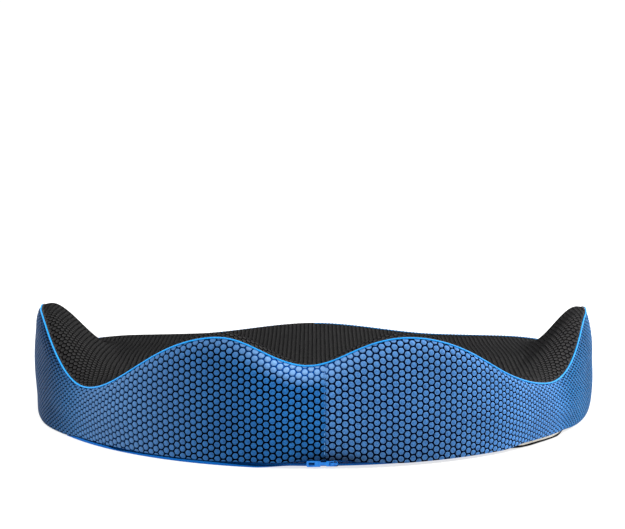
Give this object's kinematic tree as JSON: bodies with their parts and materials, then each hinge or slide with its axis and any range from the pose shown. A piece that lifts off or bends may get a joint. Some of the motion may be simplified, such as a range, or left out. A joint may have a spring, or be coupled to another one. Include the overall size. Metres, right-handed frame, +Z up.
{
  "type": "seat cushion",
  "caption": "Contoured seat cushion with a half-round rear, raised wings and humps, padded mesh cover, piping and a zip along the rear lower edge.",
  "frame": {"origin": "centre of the footprint, on the plane the grip dots rest on", "axes": "+Z up, +Y toward the sitter's knees (the front edge), +X across the seat to the sitter's right; the half-round rear with the zip faces -Y"},
  "size_m": [0.461, 0.401, 0.0982],
  "materials": {
    "foam": "matte, open-cell memory foam",
    "liner_knit": "cream knitted jersey",
    "black_mesh": "black spacer mesh with raised hexagon pads",
    "blue_mesh": "blue spacer mesh, hexagon pads over navy grooves",
    "piping_cord": "bright blue covered cord, slightly glossy",
    "base_cloth": "black anti-slip cloth",
    "silicone": "soft matte grip dots",
    "zip_tape": "woven blue tape",
    "zip_coil": "blue nylon coil",
    "zip_metal": "blue lacquered zinc, glossy"
  },
  "bodies": {
    "cushion": {"foam_core": "foam", "inner_liner": "liner_knit", "top_panel": "black_mesh", "side_band_left": "blue_mesh", "side_band_right": "blue_mesh", "piping": "piping_cord", "bottom_panel": "base_cloth", "grip_dots": "silicone", "zip_tape_upper": "zip_tape", "zip_tape_lower": "zip_tape", "zip_coil_upper": "zip_coil", "zip_coil_lower": "zip_coil", "zip_top_stop_upper": "zip_metal", "zip_top_stop_lower": "zip_metal", "zip_bottom_stop": "zip_metal"},
    "slider": {"slider_body": "zip_metal"},
    "tab": {"pull_tab": "zip_metal"}
  },
  "joints": [
    {"name": "zip_slide", "type": "hinge", "parent": "cushion", "child": "slider", "pos_m": [0, 0.03, 0.0037], "axis": [0, 0, 1], "range_deg": [-59.5, 34.5]},
    {"name": "tab_swing", "type": "hinge", "parent": "slider", "child": "tab", "pos_m": [0.01393, -0.19777, 0.0037], "axis": [0, 0, 1], "range_deg": [0, 180]}
  ]
}
